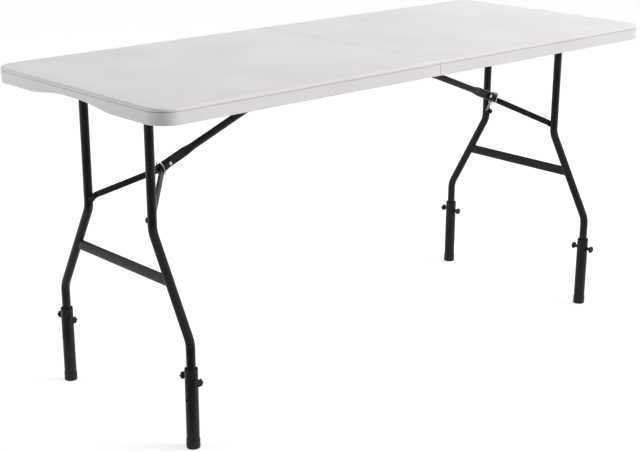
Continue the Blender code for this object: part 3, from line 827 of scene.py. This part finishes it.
def makeStay():
    s = stay
    wayDown = stayEnd - elbow
    long = wayDown.length
    run = Vector((long - s['eye'] - s['neck'], s['farY'] - s['nearY']))
    turn = math.degrees(math.atan2(run.y, run.x))
    reach = s['bend'] * math.tan(math.radians(turn) / 2)
    arc = s['bend'] * math.radians(turn)
    middle = run.length - 2 * reach
    noseTurn = (math.pi / 2 - s['noseFrom']) / s['noseSteps']
    nose = [s['noseFrom'] + noseTurn * i for i in range(s['noseSteps'] + 1)]
    stations = [(-s['tall'] * math.cos(a), s['thick'], s['tall'] * math.sin(a), 0, s['press']) for a in nose]
    x = s['neck'] - reach

    def station(along, t, turned):
        # t runs from the pressed end, 0, to the thicker middle, 1
        half = s['thick'] + (s['middle'] - s['thick']) * smoothStep(t)
        stations.append((along, half, s['tall'], turned, s['press']))

    def bendAt(along, sign):
        for i in range(s['bendSteps'] + 1):
            half = 0.5 if i in (0, s['bendSteps']) else 1
            station(along + arc * i / s['bendSteps'], 0, sign * turn / s['bendSteps'] * half)

    bendAt(x, 1)
    x += arc
    swells = [i / s['swellSteps'] for i in range(1, s['swellSteps'] + 1)]
    for t in swells:
        station(x + s['swell'] * t, t, 0)
    for t in reversed(swells):
        station(x + middle - s['swell'] * t, t, 0)
    x += middle
    bendAt(x, -1)
    x += arc + s['eye'] - reach
    for a in reversed(nose):
        stations.append((x + s['tall'] * math.cos(a), s['thick'], s['tall'] * math.sin(a), 0, s['press']))
    piece = pressedBar('stay', stations, s['sides'])
    piece.rotation_euler = (0, math.atan2(-wayDown.z, wayDown.x), 0)
    piece.location = elbow + Vector((0, s['nearY'], 0))
    applyPlace(piece)
    smoothByAngle(piece, 40)
    return piece


toFour(makeStay(), 'stay', charcoal, '{end}_stay', 'frame_paint', 'stay_arm')

# rivets and bolts: domed heads turned on a short shank
rivet = {'half': 0.0101, 'shank': 0.003, 'head': 0.0048, 'dome': 0.0012, 'sides': 24}


def domed(head, dome, start, sign, steps=4):
    rows = []
    for i in range(steps):
        a = math.pi / 2 * i / steps
        rows.append((head * math.cos(a), start + sign * dome * math.sin(a)))
    return rows


def makeRivet():
    s = rivet
    profile = list(reversed(domed(s['head'], s['dome'], -s['half'], -1)))
    profile += [(s['shank'], -s['half']), (s['shank'], s['half'])]
    profile += domed(s['head'], s['dome'], s['half'], 1)
    piece = turned('rivet', profile, s['sides'], elbow, 'Y')
    smoothByAngle(piece, 50)
    return piece


toTwo(makeRivet(), 'elbow_pin', zinc, '{end}_brace', 'bright_steel', 'elbow_rivet')

bolt = {'outer': 0.1307, 'seat': 0.1254, 'head': 0.007, 'flank': 0.0024, 'dome': 0.0036, 'domeSteps': 6,
        'shank': 0.003, 'sides': 24}


def makeBolt():
    s = bolt
    profile = list(reversed(domed(s['head'], s['dome'], s['seat'] - s['flank'], -1, s['domeSteps'])))
    profile += [(s['head'], s['seat']), (s['shank'], s['seat']), (s['shank'], s['outer'])]
    piece = turned('bolt', profile, s['sides'], stayEnd, 'Y')
    smoothByAngle(piece, 50)
    return piece


toFour(makeBolt(), 'stay_stud', charcoal, '{end}_stay', 'frame_paint', 'stay_bolt')

# cross-slotted pan-head screws under the flanges of the pivot and brace brackets
screw = {'head': 0.0045, 'flank': 0.00099, 'dome': 0.00121, 'slot': 0.0009, 'slotLong': 0.00495,
         'slotDeep': 0.0009, 'sink': 0.0005, 'sides': 20, 'pivotX': (0.772, 0.800), 'pivotY': 0.3092,
         'pivotZ': 0.8847, 'braceX': (0.066, 0.086), 'braceY': 0.0222, 'braceZ': 0.8852}


def makeScrew(place):
    s = screw
    rows = [(s['head'], s['sink'])] + domed(s['head'], s['dome'], -s['flank'], -1)
    crown = Vector(place) - Vector((0, 0, s['flank'] + s['dome']))
    piece = turned('screw', list(reversed(rows)), s['sides'], place, 'Z')
    for turn in (0, math.pi / 2):
        startClean()
        bpy.ops.mesh.primitive_cube_add(size=1, location=crown, rotation=(0, 0, turn))
        tool = bpy.context.object
        tool.scale = (s['slotLong'], s['slot'], 2 * s['slotDeep'])
        applyPlace(tool)
        cutWith(piece, tool)
    smoothByAngle(piece, 35)
    return piece


def placeScrews(word, xs, y, z):
    for i, x in enumerate(xs):
        piece = makeScrew((x, y, z))
        for end, signX in ends:
            for side, signY in sides:
                copy = mirrorCopy(piece, f'{end}_{side}_{word}_screw_{i + 1}', signX < 0, signY < 0)
                settle(copy, zinc, end + '_top', 'bright_steel')
        bpy.data.objects.remove(piece, do_unlink=True)


placeScrews('pivot', screw['pivotX'], screw['pivotY'], screw['pivotZ'])
placeScrews('brace', screw['braceX'], screw['braceY'], screw['braceZ'])

# lock ring: a wire loop drawn as a rounded frame, given its thickness as a curve
ring = {'along': 0.026, 'half': 0.0135, 'top': 0.0159, 'low': -0.0186, 'corner': 0.006, 'cornerSteps': 8,
        'wire': 0.0016}


def makeRing():
    s = ring
    startClean()
    bpy.ops.mesh.primitive_plane_add(size=1, location=(0, 0, (s['top'] + s['low']) / 2),
                                     rotation=(0, math.pi / 2, 0))
    piece = bpy.context.object
    piece.name = 'ring'
    piece.scale = (s['top'] - s['low'], 2 * s['half'], 1)
    applyPlace(piece)
    editAll(piece)
    bpy.ops.mesh.bevel(offset=s['corner'], segments=s['cornerSteps'], affect='VERTICES', offset_type='OFFSET',
                       profile=0.5)
    bpy.ops.mesh.select_all(action='SELECT')
    bpy.ops.mesh.delete(type='ONLY_FACE')
    objectMode()
    piece = wireAlong(piece, s['wire'])
    piece.rotation_euler = (0, braceDip, 0)
    piece.location = elbow + braceWay * s['along']
    applyPlace(piece)
    return piece


toTwo(makeRing(), 'wire_ring', zinc, '{end}_ring', 'bright_steel', 'lock_ring')
print('frames and braces done')

# feet: sleeve with open mouth, cap and screw knobs
footAt = Vector((legShape['x'], legShape['footY'], 0))
sleeve = {'radius': 0.017, 'wall': 0.0015, 'low': 0.0038, 'top': 0.21708, 'mouth': 0.005, 'guide': 0.0123,
          'guideLong': 0.012, 'knobZ': 0.18808, 'holeZ': 0.13408, 'hole': 0.004, 'holeSides': 24,
          'lip': 0.0005, 'lipEase': 0.00015, 'sides': 40}


def boreTool(place, radius, long, turn):
    startClean()
    bpy.ops.mesh.primitive_cylinder_add(vertices=sleeve['holeSides'], radius=radius, depth=long,
                                        location=place, rotation=turn)
    tool = bpy.context.object
    applyPlace(tool)
    return tool


def makeSleeve():
    s = sleeve
    bore = s['radius'] - s['wall']
    lip, ease = s['lip'], s['lipEase']
    under = s['top'] - s['mouth']
    profile = [(bore, s['low']), (s['radius'], s['low']), (s['radius'], s['top'] - lip),
               (s['radius'] - ease, s['top'] - ease), (s['radius'] - lip, s['top']), (bore + lip, s['top']),
               (bore, s['top'] - lip), (bore, under), (s['guide'], under),
               (s['guide'], under - s['guideLong']), (bore, under - s['guideLong']), (bore, s['low'])]
    piece = turned('sleeve', profile, s['sides'], footAt, 'Z', closed=True)
    quarter = math.pi / 2
    knobAt = footAt + Vector((0, 0, s['knobZ']))
    holeAt = footAt + Vector((s['radius'], 0, s['holeZ']))
    cutWith(piece, boreTool(knobAt, s['hole'], 4 * s['radius'], (quarter, 0, 0)))
    cutWith(piece, boreTool(holeAt, s['hole'], s['radius'], (0, quarter, 0)))
    smoothByAngle(piece)
    return piece


toFour(makeSleeve(), 'sleeve', charcoal, '{end}_{side}_foot', 'frame_paint', 'extension_sleeve')

cap = {'radius': 0.018, 'bore': 0.0173, 'high': 0.025, 'floor': 0.0035, 'soft': 0.002, 'softSteps': 4,
       'tread': 0.012, 'treadEdge': 0.013, 'treadDeep': 0.0008, 'brimHigh': 0.0006, 'brim': 0.0003,
       'sides': 40}


def makeCap():
    s = cap
    profile = [(s['tread'], s['treadDeep']), (s['treadEdge'], 0)]
    for i in range(s['softSteps'] + 1):
        a = math.pi / 2 * i / s['softSteps']
        profile.append((s['radius'] - s['soft'] * (1 - math.sin(a)), s['soft'] * (1 - math.cos(a))))
    profile += [(s['radius'], s['high'] - s['brimHigh']), (s['radius'] - s['brim'], s['high']),
                (s['bore'], s['high']), (s['bore'], s['floor'])]
    piece = turned('cap', profile, s['sides'], footAt, 'Z')
    smoothByAngle(piece)
    return piece


toFour(makeCap(), 'cap', black, '{end}_{side}_foot', 'black_plastic', 'foot_cap')

knob = {'tip': 0.0372, 'start': 0.0156, 'shoulder': 0.0173, 'shank': 0.0037, 'collar': 0.006,
        'collarHigh': 0.0012, 'collarEnd': 0.0018, 'neck': 0.0050, 'neckEnd': 0.0295, 'waist': 0.0045,
        'waistBack': 0.002, 'radius': 0.0108, 'ease': 0.0018, 'easeMid': 0.00063, 'dish': 0.0054,
        'dishEdge': 0.00594, 'dishDeep': 0.0005, 'lobes': 6, 'lobeSides': 8, 'flute': 0.0018,
        'fluteFrom': 0.0062, 'fluteShare': 0.55}


def makeKnob(sign):
    s = knob
    radius, tip, ease, easeMid = s['radius'], s['tip'], s['ease'], s['easeMid']
    profile = [(s['shank'], s['start']), (s['shank'], s['shoulder']), (s['collar'], s['shoulder']),
               (s['collar'], s['shoulder'] + s['collarHigh']), (s['neck'], s['shoulder'] + s['collarEnd']),
               (s['waist'], s['neckEnd'] - s['waistBack']), (s['neck'], s['neckEnd']),
               (radius - ease, s['neckEnd']), (radius, s['neckEnd'] + ease), (radius, tip - ease),
               (radius - easeMid, tip - easeMid), (radius - ease, tip), (s['dishEdge'], tip),
               (s['dish'], tip - s['dishDeep'])]
    piece = turned('knob', profile, s['lobes'] * s['lobeSides'], (0, 0, 0), 'Y')
    drawIn = 1 - s['flute'] / radius
    # flutes: draw in the strips between the lobes
    for lobe in range(s['lobes']):
        middle = 2 * math.pi * (lobe + 0.5) / s['lobes']

        def inFlute(v):
            r = math.hypot(v.co.x, v.co.z)
            gap = (math.atan2(v.co.z, v.co.x) - middle + math.pi) % (2 * math.pi) - math.pi
            return r > s['fluteFrom'] and abs(gap) < math.pi / s['lobes'] * s['fluteShare']

        editVerts(piece, inFlute)
        bpy.ops.transform.resize(value=(drawIn, 1, drawIn), center_override=(0, tip, 0))
        objectMode()
    if sign < 0:
        outer = piece
        piece = mirrorCopy(outer, 'innerKnob', False, True)
        bpy.data.objects.remove(outer, do_unlink=True)
    piece.location = footAt + Vector((0, 0, sleeve['knobZ']))
    applyPlace(piece)
    smoothByAngle(piece, 30)
    return piece


toFour(makeKnob(1), 'outer_thumb_screw', black, '{end}_{side}_outer_screw', 'black_plastic', 'outer_knob')
toFour(makeKnob(-1), 'inner_thumb_screw', black, '{end}_{side}_inner_screw', 'black_plastic', 'inner_knob')
print('feet done')

# the remaining CAD pieces keep their shape and take the finishes above
steelWords = ('hinge_leaf', 'hinge_pin', 'brace_pin')
for name, item in nodes.items():
    finish = zinc if any(word in name for word in steelWords) else charcoal
    if 'rail' in name or 'bracket' in name or 'pivot_tube' in name or finish is zinc:
        for slot in item.material_slots:
            slot.material = finish


# stage, lights and camera
stage = {'floor': 60.0, 'floorColour': (0.62, 0.62, 0.62), 'lift': 0.62, 'sky': 0.365, 'fill': 0.25,
         'fillWay': (-0.69, -0.724, 0.0), 'fillFrom': 0.15, 'fillTo': 0.8, 'keyPlace': (16.6, -16.4, 7.3),
         'keyAngle': 24.0, 'keyLevel': 2.4, 'cardNear': 0.95, 'cardLong': 4.4, 'cardWide': 4.6,
         'cardHigh': 0.002, 'cardColour': (0.02, 0.02, 0.02), 'rough': 0.9}


def backgroundRays(tree):
    # the plain background is for the camera, and for what metal and clear pieces show of it
    path = tree.nodes.new('ShaderNodeLightPath')
    seen = mathNode(tree, 'MAXIMUM', path.outputs['Is Camera Ray'], path.outputs['Is Glossy Ray'])
    return mathNode(tree, 'MAXIMUM', seen, path.outputs['Is Transmission Ray'])


def dullMaterial(piece, name, colour):
    material = bpy.data.materials.new(name)
    material.use_nodes = True
    shader = material.node_tree.nodes['Principled BSDF']
    shader.inputs['Base Color'].default_value = (*colour, 1)
    shader.inputs['Roughness'].default_value = stage['rough']
    shader.inputs['Specular IOR Level'].default_value = 0.0
    piece.data.materials.append(material)
    return material.node_tree, shader


def makeFloor():
    startClean()
    bpy.ops.mesh.primitive_plane_add(size=stage['floor'], location=(0, 0, 0))
    floor = bpy.context.object
    floor.name = 'floor'
    tree, shader = dullMaterial(floor, 'paleFloor', stage['floorColour'])
    glow = tree.nodes.new('ShaderNodeEmission')
    glow.inputs['Color'].default_value = (1, 1, 1, 1)
    tree.links.new(mathNode(tree, 'MULTIPLY', backgroundRays(tree), stage['lift']), glow.inputs['Strength'])
    both = tree.nodes.new('ShaderNodeAddShader')
    tree.links.new(shader.outputs[0], both.inputs[0])
    tree.links.new(glow.outputs[0], both.inputs[1])
    tree.links.new(both.outputs[0], tree.nodes['Material Output'].inputs['Surface'])


def makeCard():
    # a dark card on the floor before the picture, seen in gloss alone, which draws the round of the tubes
    startClean()
    way = Vector(stage['fillWay'])
    place = way * (stage['cardNear'] + stage['cardLong'] / 2)
    bpy.ops.mesh.primitive_plane_add(size=1, location=(place.x, place.y, stage['cardHigh']),
                                     rotation=(0, 0, math.atan2(way.y, way.x)))
    card = bpy.context.object
    card.name = 'darkCard'
    card.scale = (stage['cardLong'], stage['cardWide'], 1)
    applyPlace(card)
    dullMaterial(card, 'darkCard', stage['cardColour'])
    card.visible_camera = card.visible_diffuse = card.visible_shadow = card.visible_transmission = False


def makeSky():
    world = bpy.data.worlds.new('studio')
    bpy.context.scene.world = world
    world.use_nodes = True
    tree = world.node_tree
    tree.nodes.clear()
    soft = tree.nodes.new('ShaderNodeBackground')
    soft.inputs['Color'].default_value = (1, 1, 1, 1)
    # the room is darker behind the camera
    coords = tree.nodes.new('ShaderNodeTexCoord')
    toward = tree.nodes.new('ShaderNodeVectorMath')
    toward.operation = 'DOT_PRODUCT'
    toward.inputs[1].default_value = stage['fillWay']
    tree.links.new(coords.outputs['Generated'], toward.inputs[0])
    level = spread(tree, toward.outputs['Value'], stage['sky'], stage['fill'], stage['fillFrom'],
                   stage['fillTo'])
    tree.links.new(level, soft.inputs['Strength'])
    plain = tree.nodes.new('ShaderNodeBackground')
    plain.inputs['Color'].default_value = (1, 1, 1, 1)
    plain.inputs['Strength'].default_value = 1.0
    mix = tree.nodes.new('ShaderNodeMixShader')
    out = tree.nodes.new('ShaderNodeOutputWorld')
    tree.links.new(backgroundRays(tree), mix.inputs[0])
    tree.links.new(soft.outputs[0], mix.inputs[1])
    tree.links.new(plain.outputs[0], mix.inputs[2])
    tree.links.new(mix.outputs[0], out.inputs['Surface'])


def softBox(name, place, target, size, watts, glossy):
    startClean()
    bpy.ops.object.light_add(type='AREA', location=place)
    lamp = bpy.context.object
    lamp.name = name
    lamp.data.shape = 'RECTANGLE'
    lamp.data.size, lamp.data.size_y = size
    lamp.data.energy = watts
    lamp.rotation_euler = (Vector(target) - Vector(place)).to_track_quat('-Z', 'Y').to_euler()
    lamp.visible_glossy = glossy


def farKey():
    # one big soft light a long way off to the right, which leaves no glare on the top
    startClean()
    place = Vector(stage['keyPlace'])
    bpy.ops.object.light_add(type='SUN', location=place)
    key = bpy.context.object
    key.name = 'farKey'
    key.data.energy = stage['keyLevel']
    key.data.angle = math.radians(stage['keyAngle'])
    key.rotation_euler = (-place).to_track_quat('-Z', 'Y').to_euler()
    key.visible_glossy = False


# place, target, size, watts and whether gloss shows it
lamps = {'backLeft': ((-3.6, 1.8, 1.6), (-0.4, 0, 0.6), (2.0, 2.0), 45.0, True),
         'overTop': ((2.2, 0.6, 3.6), (0.7, 0, 0.9), (2.4, 2.4), 48.0, True),
         'rightFront': ((4.2, -2.4, 2.0), (0.7, -0.2, 0.85), (2.2, 2.2), 30.0, False)}

makeFloor()
makeCard()
makeSky()
farKey()
for name, values in lamps.items():
    softBox(name, *values)

camera = {'place': (-2.64412, -2.80851, 1.56334), 'turn': (70.85514, 0, -41.72098), 'lens': 76.639,
          'shift': (0.01811, 0.06583), 'sensor': 36, 'far': 60}
startClean()
bpy.ops.object.camera_add(location=camera['place'], rotation=[math.radians(a) for a in camera['turn']])
view = bpy.context.object
view.data.sensor_fit = 'HORIZONTAL'
view.data.sensor_width = camera['sensor']
view.data.lens = camera['lens']
view.data.shift_x, view.data.shift_y = camera['shift']
view.data.clip_end = camera['far']
bpy.context.scene.camera = view
bpy.context.scene.view_settings.view_transform = 'Standard'
print('stage ready')
